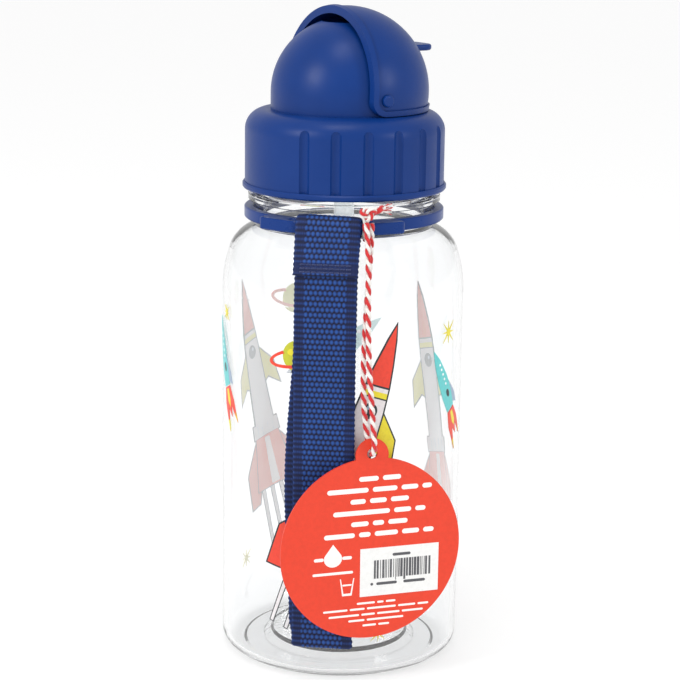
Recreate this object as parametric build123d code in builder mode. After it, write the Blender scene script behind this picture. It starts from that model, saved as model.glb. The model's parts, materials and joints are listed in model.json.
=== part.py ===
"""Kids' water bottle: clear body, screw lid with a turning hood and flip spout, strap and hang tag.

Frame: +Z up, origin on the bottle's axis at the level of its foot ring, +X the way the spout
points when it is folded.  The hood turns about Y.  Millimetres.
"""
from build123d import *
import os
from math import asin, atan2, cos, degrees, hypot, pi, radians, sin, tan

os.makedirs("parts", exist_ok=True)

# ---------------------------------------------------------------- driving dimensions
body_r = 36.5           # outer radius of the clear body
wall = 1.6              # its wall
straight_top_z = 113.0  # where the straight wall turns into the shoulder
neck_z = 132.1          # foot of the neck
groove_r = 26.8         # neck below the bead, where the collar sits
core_r = 25.9           # neck above the bead, root of the thread
neck_bore_r = 24.3
neck_top_z = 162.6
bead_r, bead_z, bead_h = 28.8, 139.7, 2.1

thread_pitch = 4.5
thread_turns = 1.25
thread_z = 149.5        # middle of the neck's thread at its start
thread_root, thread_crest, thread_depth = 2.0, 1.0, 1.05

cap_r = 29.8            # skirt of the screw cap
cap_bore_r = 27.9
flange_r, flange_z, flange_h = 30.5, 143.3, 1.8
deck_z, deck_h = 166.6, 2.3
deck_hole_r = 19.6
flute_count, flute_step = 7, 18.1   # flutes on each side, and the angle between them
flute_shift = -2.1      # the flutes sit a little round from the pins
flute_w, flute_d, flute_top_z = 3.2, 1.0, 162.2

pin_x, pin_z = -1.9, 171.4   # place of the hood's pins, seen from the side
dome_r, dome_wall = 22.2, 1.8
spigot_r, spigot_z = 19.5, 162.9
slot_half = 7.2         # half width of the dome's slot
slot_floor_z = 167.2
pin_r = 1.75
pin_in_y, pin_out_y = 20.0, 26.0

hood_r, hood_wall = 24.8, 1.6
hood_z = 172.2          # centre of the hood's sphere
hood_ear_r = 4.6
rim_w, rim_h = 1.6, 0.6
tab_z, tab_t, tab_w, tab_x = 183.2, 1.9, 12.0, 28.5

spout_z = 172.4         # height of the spout's pivots
barrel_r, barrel_half = 4.9, 5.6
tube_r, tube_bore_r, tube_x = 3.3, 2.0, 17.0
mouth_r, mouth_x0, mouth_x1 = 4.2, 8.5, 21.2
pivot_r, pivot_in_y, pivot_out_y = 1.5, 3.5, 7.4
run_gap = 0.07          # radial clearance of the running fits
open_deg = 70.0         # how far the spout rises

plate_r, plate_z, plate_h = 21.0, 160.7, 2.2
cheek_y0, cheek_y1, cheek_r = 5.8, 7.4, 6.0
seal_t = 1.0
nipple_r, nipple_z = 2.35, 152.0
straw_r, straw_bore_r, straw_z = 3.0, 2.4, 9.0
vent_x = -13.0

front_deg = -131.0      # direction of the strap from the axis
collar_z, collar_h = 134.3, 3.5
collar_bore_r, collar_r, sector_r, sector_deg = 27.1, 29.9, 34.2, 39.5
front_flat_x = 32.5     # the sector is flat in front, where the bar is
slot_x0, slot_x1, slot_half_w = 28.0, 30.6, 12.0
bar_x = (slot_x1 + front_flat_x) / 2
bar_z = collar_z + collar_h / 2

strap_w, strap_t = 18.0, 1.25
strap_loop_r = 2.825    # middle of the webbing round the collar's bar
layer = strap_t + 0.15  # from the middle of one layer to the middle of the next
fold_z = 12.3

tag_deg = -105.5        # direction that the tag faces
tag_x, tag_t, tag_tan = 40.5, 0.6, -3.8
tag_r, tag_z = 27.5, 42.9
tag_hole_z, tag_hole_r, tag_ear_r, tag_ear_z = 71.7, 1.6, 5.0, 71.2
label_w, label_h, label_t = 24.3, 14.7, 0.12
label_u, label_v = 8.9, -7.3

twine_d = 1.8

# ---------------------------------------------------------------- frames of the front pieces


def upright(angle, across=0.0):
    """Plane whose x is away from the axis at this angle and whose y is up."""
    a = radians(angle)
    return Plane(origin=(-across * sin(a), across * cos(a), 0),
                 x_dir=(cos(a), sin(a), 0), z_dir=(sin(a), -cos(a), 0))


def flat(angle, height):
    """Level plane whose x is away from the axis at this angle."""
    a = radians(angle)
    return Plane(origin=(0, 0, height), x_dir=(cos(a), sin(a), 0), z_dir=(0, 0, 1))


def facing(angle, distance):
    """Plane that faces away from the axis, with x along the tangent and y up."""
    a = radians(angle)
    return Plane(origin=(distance * cos(a), distance * sin(a), 0),
                 x_dir=(-sin(a), cos(a), 0), z_dir=(cos(a), sin(a), 0))


def place(out, across, up):
    """Point given away from the axis, along the tangent and up, at the strap's direction."""
    a = radians(front_deg)
    return Vector(out * cos(a) - across * sin(a), out * sin(a) + across * cos(a), up)


# ---------------------------------------------------------------- clear bottle
foot_r0, foot_r1 = 29.6, 31.4
push_r, push_z, push_top_z = 22.0, 2.4, 3.4
corner_r = 4.6
floor_t = 1.8
shoulder_r, shoulder_deg = 36.0, 20.0
shoulder_turn = radians(shoulder_deg)
crest_x = body_r - shoulder_r * (1 - cos(shoulder_turn))
crest_z = straight_top_z + shoulder_r * sin(shoulder_turn)
inner_r = body_r - wall
inner_crest_x = crest_x - wall * cos(shoulder_turn)
inner_crest_z = crest_z - wall * sin(shoulder_turn)

with BuildPart() as bottle_body:
    with BuildSketch(Plane.XZ):
        with BuildLine():
            underside = Polyline((0, push_top_z), (push_r - 1.5, push_z + 0.3),
                                 (push_r + 1.0, 0.8), (foot_r0 - 0.8, 0.5), (foot_r0, 0),
                                 (foot_r1, 0))
            corner = TangentArc(underside @ 1, (body_r, corner_r + 0.5), tangent=(1, 0))
            side = Line(corner @ 1, (body_r, straight_top_z))
            low_shoulder = RadiusArc(side @ 1, (crest_x, crest_z), -shoulder_r)
            high_shoulder = TangentArc(low_shoulder @ 1, (groove_r, neck_z),
                                       tangent=(-sin(shoulder_turn), cos(shoulder_turn)))
            neck = Polyline(high_shoulder @ 1, (groove_r, bead_z), (bead_r - 0.3, bead_z),
                            (bead_r, bead_z + 0.3), (bead_r, bead_z + bead_h - 0.3),
                            (bead_r - 0.3, bead_z + bead_h), (core_r, bead_z + bead_h),
                            (core_r, neck_top_z - 0.5), (core_r - 0.4, neck_top_z),
                            (neck_bore_r + 0.3, neck_top_z), (neck_bore_r, neck_top_z - 0.3),
                            (neck_bore_r, neck_z + 1.0))
            throat = TangentArc((inner_crest_x, inner_crest_z), (neck_bore_r, neck_z + 1.0),
                                tangent=(-sin(shoulder_turn), cos(shoulder_turn)))
            inner_shoulder = RadiusArc((inner_r, straight_top_z), throat @ 0,
                                       -(shoulder_r - wall))
            inner_side = Line((inner_r, straight_top_z), (inner_r, corner_r + 0.5))
            floor_corner = TangentArc((inner_r, corner_r + 0.5), (foot_r1, floor_t),
                                      tangent=(0, -1))
            floor = Polyline((foot_r1, floor_t), (push_r + 1.6, floor_t + 0.5),
                             (push_r - 1.2, floor_t + push_z + 0.5),
                             (0, floor_t + push_top_z), (0, push_top_z))
        make_face()
    revolve(axis=Axis.Z)
    with BuildLine():
        neck_helix = Helix(pitch=thread_pitch, height=thread_pitch * thread_turns,
                           radius=core_r, center=(0, 0, thread_z))
    with BuildSketch(Plane(origin=neck_helix @ 0, x_dir=(1, 0, 0), z_dir=neck_helix % 0)):
        with BuildLine():
            Polyline((-0.25, -thread_root / 2), (thread_depth, -thread_crest / 2),
                     (thread_depth, thread_crest / 2), (-0.25, thread_root / 2), close=True)
        make_face()
    sweep(path=neck_helix, is_frenet=True)
bottle_body.part.label = "bottle_body"
export_step(bottle_body.part, "parts/bottle_body.step")

# ---------------------------------------------------------------- collar that carries the strap
with BuildPart() as strap_collar:
    with BuildSketch(flat(front_deg, collar_z)) as collar_sketch:
        with BuildLine():
            half = radians(sector_deg)
            rise = front_flat_x * tan(half)
            Polyline((0, 0), (front_flat_x, -rise), (front_flat_x, rise), close=True)
        make_face()
        Circle(sector_r, mode=Mode.INTERSECT)
        steps = collar_sketch.vertices().filter_by(
            lambda corner: Vector(corner).length > collar_r)
        fillet(steps, 1.6)
        Circle(collar_r)
        Circle(collar_bore_r, mode=Mode.SUBTRACT)
        with Locations(((slot_x0 + slot_x1) / 2, 0)):
            RectangleRounded(slot_x1 - slot_x0, 2 * slot_half_w, 0.8, mode=Mode.SUBTRACT)
    extrude(amount=collar_h)
    rims = strap_collar.faces().filter_by(Axis.Z).edges()
    chamfer(rims, 0.35)
strap_collar.part.label = "strap_collar"
export_step(strap_collar.part, "parts/strap_collar.step")

# ---------------------------------------------------------------- webbing strap


def touch(centre, radius, point, side):
    """Where a line from point touches the circle; side +1 or -1 picks one of the two."""
    away = hypot(point[0] - centre[0], point[1] - centre[1])
    toward = atan2(point[1] - centre[1], point[0] - centre[0])
    a = toward + side * (pi / 2 - asin(radius / away))
    return centre[0] + radius * cos(a), centre[1] + radius * sin(a)


back_top, back_mid, back_low = (34.7, 127.4), (36.9, 121.3), (37.45, 113.5)
front_top, front_mid, front_low = (36.0, 127.9), (38.3, 121.6), (back_low[0] + layer, 113.6)
flap_end = (39.15, 123.4)
bar_centre = (bar_x, bar_z)
over_in = touch(bar_centre, strap_loop_r, flap_end, 1)
over_out = touch(bar_centre, strap_loop_r, back_top, -1)
over_top = (bar_x, bar_z + strap_loop_r)
fold_out, fold_in = (back_low[0], fold_z), (front_low[0], fold_z)
fold_mid = ((fold_out[0] + fold_in[0]) / 2, fold_z - layer / 2)

with BuildPart() as carry_strap:
    with BuildLine(upright(front_deg)) as webbing:
        Line(flap_end, over_in)
        ThreePointArc(over_in, over_top, over_out)
        FilletPolyline(over_out, back_top, back_mid, back_low, fold_out, radius=(3, 8, 8))
        ThreePointArc(fold_out, fold_mid, fold_in)
        FilletPolyline(fold_in, front_low, front_mid, front_top, radius=(8, 8))
    path = webbing.wires()[0]
    with BuildSketch(Plane(origin=path @ 0, x_dir=facing(front_deg, 0).x_dir, z_dir=path % 0)):
        Rectangle(strap_w, strap_t)
    sweep(path=path)
carry_strap.part.label = "carry_strap"
export_step(carry_strap.part, "parts/carry_strap.step")

# rows of thread that close the loop, on the face of the flap
flap_lean = degrees(atan2(flap_end[0] - over_in[0], over_in[1] - flap_end[1]))
stitch_rows, stitch_step, stitch_len, stitch_w, stitch_h = 3, 1.1, 15.0, 0.55, 0.3
with BuildPart() as strap_stitching:
    face_x = flap_end[0] + strap_t / 2 * cos(radians(flap_lean))
    face_z = flap_end[1] + strap_t / 2 * sin(radians(flap_lean))
    out_flap = place(cos(radians(flap_lean)), 0, sin(radians(flap_lean)))
    seam = Plane(origin=place(face_x, 0, face_z), x_dir=facing(front_deg, 0).x_dir,
                 z_dir=out_flap)
    with BuildSketch(seam):
        with Locations(*[(0, 0.9 + row * stitch_step) for row in range(stitch_rows)]):
            RectangleRounded(stitch_len, stitch_w, 0.2)
    extrude(amount=stitch_h)
strap_stitching.part.label = "strap_stitching"
export_step(strap_stitching.part, "parts/strap_stitching.step")

# ---------------------------------------------------------------- hang tag
with BuildPart() as hang_tag:
    with BuildSketch(facing(tag_deg, tag_x)) as card:
        with Locations((tag_tan, tag_z)):
            Circle(tag_r)
        with Locations((tag_tan, tag_ear_z)):
            Circle(tag_ear_r)
        with Locations((tag_tan, tag_ear_z - tag_ear_r)):
            Rectangle(2 * tag_ear_r * 0.94, 2 * tag_ear_r * 0.7)
        waist = card.vertices().filter_by_position(Axis.Z, tag_z + tag_r - 6, tag_z + tag_r)
        fillet(waist, 3.2)
        with Locations((tag_tan, tag_hole_z)):
            Circle(tag_hole_r, mode=Mode.SUBTRACT)
    extrude(amount=tag_t)
hang_tag.part.label = "hang_tag"
export_step(hang_tag.part, "parts/hang_tag.step")

with BuildPart() as tag_label:
    with BuildSketch(facing(tag_deg, tag_x + tag_t)):
        with Locations((tag_tan + label_u, tag_z + label_v)):
            Rectangle(label_w, label_h)
    extrude(amount=label_t)
tag_label.part.label = "tag_label"
export_step(tag_label.part, "parts/tag_label.step")

# ---------------------------------------------------------------- twine of the tag
# down from the knot, through the tag's hole from the front, and up again behind
twine_route = [place(*p) for p in [
    (35.4, 11.2, 138.6), (36.6, 12.0, 129.0), (39.3, 12.4, 118.0), (40.2, 12.9, 99.0),
    (41.3, 14.9, 78.0), (40.95, 15.2, 72.4), (37.3, 13.5, 71.1), (37.7, 12.4, 76.6),
    (38.2, 11.3, 87.0), (38.3, 11.2, 101.0), (37.2, 11.9, 117.5), (34.1, 12.3, 129.5),
    (33.7, 12.5, 138.2)]]


def corner_radii(points):
    """Each arc's radius: 0.45 of the shorter run over the tangent of half the turn."""
    radii = []
    for before, at, after in zip(points, points[1:], points[2:]):
        turn = radians((at - before).get_angle(after - at))
        shorter = min((at - before).length, (after - at).length)
        radii.append(0.45 * shorter / tan(turn / 2))
    return radii


twine_radii = corner_radii(twine_route)
with BuildPart() as tag_twine:
    with BuildLine() as twine_line:
        FilletPolyline(*twine_route, radius=twine_radii)
    twine_path = twine_line.wires()[0]
    with BuildSketch(Plane(origin=twine_path @ 0, z_dir=twine_path % 0)):
        Circle(twine_d / 2)
    sweep(path=twine_path)
tag_twine.part.label = "tag_twine"
export_step(tag_twine.part, "parts/tag_twine.step")
print("twine radii", [round(r, 1) for r in twine_radii], "length", round(twine_path.length, 1))
print("twine volume over section times length",
      round(tag_twine.part.volume / (pi * twine_d ** 2 / 4 * twine_path.length), 4))

# the knot above the collar's bar, the turn round the bar and the two short tails
knot_r, knot_long = 2.0, 4.2
knot_at = place(34.0, 11.9, 141.0)
turn_across, turn_t, turn_wide, turn_tall = 10.5, 1.5, 5.6, 7.3
tail_r = 0.65            # the twine is thinner where it is cut and frayed
tails = [(place(33.6, 12.1, 141.5), place(26.6, 17.9, 142.2)),
         (place(33.6, 12.3, 140.5), place(28.9, 17.1, 140.9))]
with BuildPart() as twine_knot:
    with BuildSketch(upright(front_deg, turn_across)):
        with Locations((bar_x - 0.05, bar_z)):
            RectangleRounded(turn_wide, turn_tall, 1.9)
            RectangleRounded(turn_wide - 2 * turn_t, turn_tall - 2 * turn_t, 0.5,
                             mode=Mode.SUBTRACT)
    extrude(amount=turn_t / 2, both=True)
    with BuildSketch(Plane(origin=knot_at, z_dir=tails[0][1] - tails[0][0])):
        Circle(knot_r)
    extrude(amount=knot_long / 2, both=True)
    knot_ends = twine_knot.edges().filter_by(GeomType.CIRCLE).filter_by(
        lambda edge: abs(edge.radius - knot_r) < 0.01)
    fillet(knot_ends, 0.9)
    for tail_start, tail_end in tails:
        with Locations(Plane(origin=tail_start, z_dir=tail_end - tail_start).location):
            Cylinder(tail_r, (tail_end - tail_start).length,
                     align=(Align.CENTER, Align.CENTER, Align.MIN))
twine_knot.part.label = "twine_knot"
export_step(twine_knot.part, "parts/twine_knot.step")

# ---------------------------------------------------------------- screw cap
shoulder_round = 6.0
with BuildPart() as screw_cap:
    with BuildSketch(Plane.XZ):
        with BuildLine():
            outside = Polyline((cap_bore_r, flange_z), (flange_r - 0.3, flange_z),
                               (flange_r, flange_z + 0.4), (flange_r, flange_z + flange_h - 0.5),
                               (flange_r - 0.4, flange_z + flange_h),
                               (cap_r, flange_z + flange_h), (cap_r, deck_z - shoulder_round))
            RadiusArc(outside @ 1, (cap_r - shoulder_round, deck_z), -shoulder_round)
            Polyline((cap_r - shoulder_round, deck_z), (deck_hole_r, deck_z),
                     (deck_hole_r, deck_z - deck_h), (cap_bore_r - 0.7, deck_z - deck_h),
                     (cap_bore_r, deck_z - deck_h - 0.7), (cap_bore_r, flange_z))
        make_face()
    revolve(axis=Axis.Z)
    flute_r = (flute_w ** 2 / 4 + flute_d ** 2) / (2 * flute_d)
    flute_at = cap_r - flute_d + flute_r
    flute_z0 = flange_z + flange_h
    for middle in (90, -90):
        first = middle + flute_shift - flute_step * (flute_count - 1) / 2
        last = first + flute_step * (flute_count - 1)
        with BuildSketch(Plane.XY.offset(flute_z0)):
            with PolarLocations(flute_at, flute_count, start_angle=first,
                                angular_range=last - first, endpoint=True):
                Circle(flute_r)
        extrude(amount=flute_top_z - flute_z0, mode=Mode.SUBTRACT)
        with Locations((0, 0, flute_top_z)):
            with PolarLocations(flute_at, flute_count, start_angle=first,
                                angular_range=last - first, endpoint=True):
                Sphere(flute_r, mode=Mode.SUBTRACT)
    with BuildLine():
        cap_helix = Helix(pitch=thread_pitch, height=thread_pitch * thread_turns,
                          radius=cap_bore_r, center=(0, 0, thread_z - thread_pitch / 2))
    with BuildSketch(Plane(origin=cap_helix @ 0, x_dir=(1, 0, 0), z_dir=cap_helix % 0)):
        with BuildLine():
            Polyline((0.25, -thread_root / 2), (-1.4, -thread_crest / 2),
                     (-1.4, thread_crest / 2), (0.25, thread_root / 2), close=True)
        make_face()
    sweep(path=cap_helix, is_frenet=True)
screw_cap.part.label = "screw_cap"
export_step(screw_cap.part, "parts/screw_cap.step")

with BuildPart() as lid_gasket:
    with BuildSketch(Plane.XZ):
        with Locations(((23.4 + 27.0) / 2, neck_top_z + 0.2 + 0.65)):
            RectangleRounded(27.0 - 23.4, 1.3, 0.3)
    revolve(axis=Axis.Z)
lid_gasket.part.label = "lid_gasket"
export_step(lid_gasket.part, "parts/lid_gasket.step")

# ---------------------------------------------------------------- dome over the spout
dome_bore_r = dome_r - dome_wall
spigot_bore_r = spigot_r - dome_wall
with BuildPart() as lid_dome:
    with BuildSketch(Plane.XZ):
        with BuildLine():
            Polyline((0, pin_z + dome_bore_r), (0, pin_z + dome_r))
            RadiusArc((0, pin_z + dome_r), (dome_r, pin_z), dome_r)
            Polyline((dome_r, pin_z), (dome_r, deck_z), (spigot_r, deck_z),
                     (spigot_r, spigot_z), (spigot_bore_r, spigot_z),
                     (spigot_bore_r, deck_z - 0.4), (dome_bore_r, deck_z + 1.6),
                     (dome_bore_r, pin_z))
            RadiusArc((dome_bore_r, pin_z), (0, pin_z + dome_bore_r), -dome_bore_r)
        make_face()
    revolve(axis=Axis.Z)
    with BuildSketch(Plane.XY.offset(slot_floor_z)):
        Circle(slot_half)
        with Locations((dome_r, 0)):
            Rectangle(2 * dome_r, 2 * slot_half)
    extrude(amount=2 * dome_r, mode=Mode.SUBTRACT)
    with Locations(Location((pin_x, 0, pin_z), (90, 0, 0))):
        Cylinder(pin_r, 3 * dome_r, mode=Mode.SUBTRACT)
lid_dome.part.label = "lid_dome"
export_step(lid_dome.part, "parts/lid_dome.step")

# ---------------------------------------------------------------- hood
hood_bore_r = hood_r - hood_wall
hood_back_x, hood_top_z = -4.8, hood_z + hood_r + 2


def hood_outline(inset):
    """Side view of the hood: sloping back edge, round ear about the pin, level lower edge."""
    ear = hood_ear_r - inset
    back = hood_back_x + inset
    with BuildSketch(Plane.XZ) as outline:
        with BuildLine():
            Polyline((pin_x - ear, pin_z), (back - 0.9, pin_z + 14), (back, hood_z + hood_r),
                     (back, hood_top_z), (hood_r + 9, hood_top_z), (hood_r + 9, pin_z - ear),
                     (pin_x, pin_z - ear))
            RadiusArc((pin_x, pin_z - ear), (pin_x - ear, pin_z), ear)
        make_face()
    return outline.sketch


with BuildPart() as hood_relief:
    extrude(hood_outline(rim_w), amount=2 * hood_r, both=True)
    with Locations((0, 0, hood_z)):
        Sphere(hood_r, mode=Mode.SUBTRACT)

with BuildPart() as hood:
    extrude(hood_outline(0), amount=2 * hood_r, both=True)
    with Locations((0, 0, hood_z)):
        Sphere(hood_r + rim_h, mode=Mode.INTERSECT)
    add(hood_relief.part, mode=Mode.SUBTRACT)
    with BuildSketch(Plane.XY.offset(tab_z)):
        with Locations((tab_x - 6.5, 0)):
            RectangleRounded(13.0, tab_w, 3.5)
    extrude(amount=tab_t)
    tab_rims = hood.edges().filter_by_position(Axis.X, tab_x - 3.6, tab_x + 0.1)
    tab_rims = tab_rims.filter_by(Axis.Z, reverse=True)
    fillet(tab_rims, 0.75)
    with Locations((0, 0, hood_z)):
        Sphere(hood_bore_r, mode=Mode.SUBTRACT)
    with Locations(Location((pin_x, 0, pin_z), (90, 0, 0))):
        Cylinder(pin_r + run_gap, 4 * hood_r, mode=Mode.SUBTRACT)
hood.part.label = "hood"
export_step(hood.part, "parts/hood.step")

for side, name in ((-1, "hood_pin_left"), (1, "hood_pin_right")):
    with BuildPart() as hood_pin:
        with BuildSketch(Plane.XZ.offset(-side * pin_in_y)):
            with Locations((pin_x, pin_z)):
                Circle(pin_r)
        extrude(amount=-side * (pin_out_y - pin_in_y))
        tip = hood_pin.faces().sort_by(Axis.Y)[-1 if side > 0 else 0]
        fillet(tip.edges(), 0.6)
    hood_pin.part.label = name
    export_step(hood_pin.part, "parts/" + name + ".step")

# ---------------------------------------------------------------- cradle, seal and pivots
saddle_r = barrel_r + 0.1 + seal_t
saddle_drop = tube_r + 0.6     # the saddle stays this far below the pivots
with BuildPart() as spout_cradle:
    with BuildSketch(Plane.XY.offset(plate_z)):
        Circle(plate_r)
    extrude(amount=plate_h)
    with BuildSketch(Plane.XY.offset(nipple_z)):
        Circle(nipple_r)
    extrude(amount=plate_z - nipple_z)
    with BuildSketch(Plane.XY.offset(plate_z + plate_h)):
        Rectangle(2 * cheek_r, 2 * cheek_y1)
    extrude(amount=spout_z - plate_z - plate_h)
    with Locations(Location((0, 0, spout_z), (90, 0, 0))):
        Cylinder(cheek_r, 2 * cheek_y1)
        Cylinder(saddle_r, 2 * cheek_y0, mode=Mode.SUBTRACT)
        Cylinder(pivot_r, 3 * cheek_y1, mode=Mode.SUBTRACT)
    with BuildSketch(Plane.XY.offset(spout_z - saddle_drop)):
        Rectangle(3 * cheek_r, 2 * cheek_y0)
    extrude(amount=3 * cheek_r, mode=Mode.SUBTRACT)
    with BuildSketch(Plane.XY.offset(nipple_z)):
        Circle(tube_bore_r - 0.4)
    extrude(amount=spout_z - nipple_z, mode=Mode.SUBTRACT)
    with BuildSketch(Plane.XY.offset(plate_z)):
        with Locations((vent_x, 0)):
            Circle(1.2)
    extrude(amount=plate_h, mode=Mode.SUBTRACT)
spout_cradle.part.label = "spout_cradle"
export_step(spout_cradle.part, "parts/spout_cradle.step")

with BuildPart() as spout_seal:
    with BuildSketch(Plane.XZ):
        with Locations((0, spout_z)):
            Circle(saddle_r)
            Circle(barrel_r + 0.1, mode=Mode.SUBTRACT)
        with Locations((0, spout_z + saddle_r - saddle_drop)):
            Rectangle(3 * saddle_r, 2 * saddle_r, mode=Mode.SUBTRACT)
    extrude(amount=cheek_y0 - 0.2, both=True)
    with BuildSketch(Plane.XY.offset(spout_z - 10)):
        Circle(tube_bore_r - 0.4)
    extrude(amount=10, mode=Mode.SUBTRACT)
spout_seal.part.label = "spout_seal"
export_step(spout_seal.part, "parts/spout_seal.step")

for side, name in ((-1, "spout_pivot_left"), (1, "spout_pivot_right")):
    with BuildPart() as spout_pivot:
        with BuildSketch(Plane.XZ.offset(-side * pivot_in_y)):
            with Locations((0, spout_z)):
                Circle(pivot_r)
        extrude(amount=-side * (pivot_out_y - pivot_in_y))
    spout_pivot.part.label = name
    export_step(spout_pivot.part, "parts/" + name + ".step")

# ---------------------------------------------------------------- flip spout
with BuildPart() as spout:
    with Locations(Location((0, 0, spout_z), (90, 0, 0))):
        Cylinder(barrel_r, 2 * barrel_half)
    with BuildSketch(Plane.YZ):
        with Locations((0, spout_z)):
            Circle(tube_r)
    extrude(amount=tube_x)
    with BuildSketch(Plane.YZ):
        with Locations((0, spout_z)):
            Circle(tube_bore_r)
    extrude(amount=tube_x, mode=Mode.SUBTRACT)
    for side in (-1, 1):
        with BuildSketch(Plane.XZ.offset(-side * (pivot_in_y - 0.1))):
            with Locations((0, spout_z)):
                Circle(pivot_r + run_gap)
        extrude(amount=-side * (barrel_half - pivot_in_y + 0.1), mode=Mode.SUBTRACT)
    port_deg = radians(90 + open_deg)
    port = Plane(origin=(0, 0, spout_z), x_dir=(0, 1, 0),
                 z_dir=(cos(port_deg), 0, -sin(port_deg)))
    with BuildSketch(port):
        Circle(tube_bore_r - 0.4)
    extrude(amount=2 * barrel_r, mode=Mode.SUBTRACT)
spout.part.label = "spout"
export_step(spout.part, "parts/spout.step")

with BuildPart() as spout_mouthpiece:
    with BuildSketch(Plane.XZ):
        with BuildLine():
            Polyline((mouth_x0, spout_z + tube_r + 0.03), (mouth_x0, spout_z + mouth_r + 0.4),
                     (mouth_x0 + 1.6, spout_z + mouth_r + 0.4),
                     (mouth_x0 + 2.0, spout_z + mouth_r - 0.2),
                     (mouth_x1 - 2.0, spout_z + mouth_r - 0.5))
            RadiusArc((mouth_x1 - 2.0, spout_z + mouth_r - 0.5),
                      (mouth_x1, spout_z + mouth_r - 2.2), 1.9)
            Polyline((mouth_x1, spout_z + mouth_r - 2.2), (mouth_x1, spout_z + 1.5),
                     (tube_x + 0.1, spout_z + 1.8), (tube_x + 0.1, spout_z + tube_r + 0.03),
                     (mouth_x0, spout_z + tube_r + 0.03))
        make_face()
    revolve(axis=Axis((0, 0, spout_z), (1, 0, 0)))
spout_mouthpiece.part.label = "spout_mouthpiece"
export_step(spout_mouthpiece.part, "parts/spout_mouthpiece.step")

# ---------------------------------------------------------------- straw and vent
with BuildPart() as drinking_straw:
    with BuildSketch(Plane.XY.offset(straw_z)):
        Circle(straw_r)
        Circle(straw_bore_r, mode=Mode.SUBTRACT)
    extrude(amount=plate_z - 0.3 - straw_z)
drinking_straw.part.label = "drinking_straw"
export_step(drinking_straw.part, "parts/drinking_straw.step")

with BuildPart() as vent_valve:
    with BuildSketch(Plane.XZ):
        with BuildLine():
            Polyline((vent_x, plate_z - 1.3), (vent_x + 3.8, plate_z - 0.5),
                     (vent_x + 3.9, plate_z - 0.05), (vent_x + 1.15, plate_z - 0.05),
                     (vent_x + 1.15, plate_z + plate_h + 0.05),
                     (vent_x + 1.9, plate_z + plate_h + 0.05),
                     (vent_x + 1.5, plate_z + plate_h + 0.9), (vent_x, plate_z + plate_h + 0.9),
                     close=True)
        make_face()
    revolve(axis=Axis((vent_x, 0, 0), (0, 0, 1)))
vent_valve.part.label = "vent_valve"
export_step(vent_valve.part, "parts/vent_valve.step")
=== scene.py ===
"""Kids' water bottle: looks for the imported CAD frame.  Metres; +Z up, +X where the spout points."""
import json
from math import asin, atan2, ceil, cos, floor, hypot, pi, radians, sin
import random

import bmesh
import bpy
from mathutils import Matrix, Vector


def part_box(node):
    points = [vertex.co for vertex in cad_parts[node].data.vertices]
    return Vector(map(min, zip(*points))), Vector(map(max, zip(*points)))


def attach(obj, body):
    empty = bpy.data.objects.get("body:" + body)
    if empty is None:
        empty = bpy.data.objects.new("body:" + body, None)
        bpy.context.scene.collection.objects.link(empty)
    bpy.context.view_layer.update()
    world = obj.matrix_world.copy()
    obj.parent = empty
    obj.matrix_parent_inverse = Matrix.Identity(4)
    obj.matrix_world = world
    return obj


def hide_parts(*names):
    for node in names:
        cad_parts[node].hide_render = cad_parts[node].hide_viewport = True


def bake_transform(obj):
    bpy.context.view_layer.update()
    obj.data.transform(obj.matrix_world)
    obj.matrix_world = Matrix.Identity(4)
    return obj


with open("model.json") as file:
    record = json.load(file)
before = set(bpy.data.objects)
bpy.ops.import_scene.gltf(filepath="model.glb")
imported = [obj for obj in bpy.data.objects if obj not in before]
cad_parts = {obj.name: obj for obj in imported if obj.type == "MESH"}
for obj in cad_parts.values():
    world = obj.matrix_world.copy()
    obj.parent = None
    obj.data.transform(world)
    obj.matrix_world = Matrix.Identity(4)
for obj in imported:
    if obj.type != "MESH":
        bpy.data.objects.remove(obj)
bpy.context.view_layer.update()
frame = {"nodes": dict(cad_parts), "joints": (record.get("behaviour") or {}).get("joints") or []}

MM = 0.001
UP = Vector((0, 0, 1))
joints = {joint["name"]: joint for joint in frame["joints"]}


# ---------------------------------------------------------------- places, from the frame

body_low, body_high = (Vector(corner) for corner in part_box("bottle_body"))
body_r = (body_high.x - body_low.x) / 2
swing_axis = joints["strap_swing"]["axis"]
front = atan2(swing_axis[0], -swing_axis[1])        # direction of the strap from the axis
tag_axis = joints["tag_swing"]["axis"]
tag_way = atan2(tag_axis[0], -tag_axis[1])          # direction that the tag faces


def away(angle):
    """Unit vector away from the bottle's axis."""
    return Vector((cos(angle), sin(angle), 0))


def along(angle):
    """Unit vector along the tangent, to the right for somebody who looks at the bottle."""
    return Vector((-sin(angle), cos(angle), 0))


def place(out, across, up, angle=front):
    """Point in metres from millimetres away from the axis, along the tangent and up."""
    return (away(angle) * out + along(angle) * across + UP * up) * MM


# ---------------------------------------------------------------- camera

view_angle = radians(-33.5)      # the camera stands this far round from -Y
CAMERA_SPOT = (-0.00069, -0.61506, 0.23839)        # before it is turned round the bottle
CAMERA_DOWN, CAMERA_ROLL = radians(13.04), radians(0.71)
LENS, SENSOR = 109.55, 36
camera_data = bpy.data.cameras.new("camera")
camera_data.lens = LENS
camera_data.sensor_width = SENSOR
camera_data.clip_start = 0.01
camera = bpy.data.objects.new("camera", camera_data)
camera.matrix_world = (
    Matrix.Rotation(view_angle, 4, "Z")
    @ Matrix.Translation(CAMERA_SPOT)
    @ Matrix.Rotation(pi / 2 - CAMERA_DOWN, 4, "X")
    @ Matrix.Rotation(CAMERA_ROLL, 4, "Z"))
bpy.context.collection.objects.link(camera)
bpy.context.scene.camera = camera
bpy.context.scene.view_settings.view_transform = "Standard"


# ---------------------------------------------------------------- shader building


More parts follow.
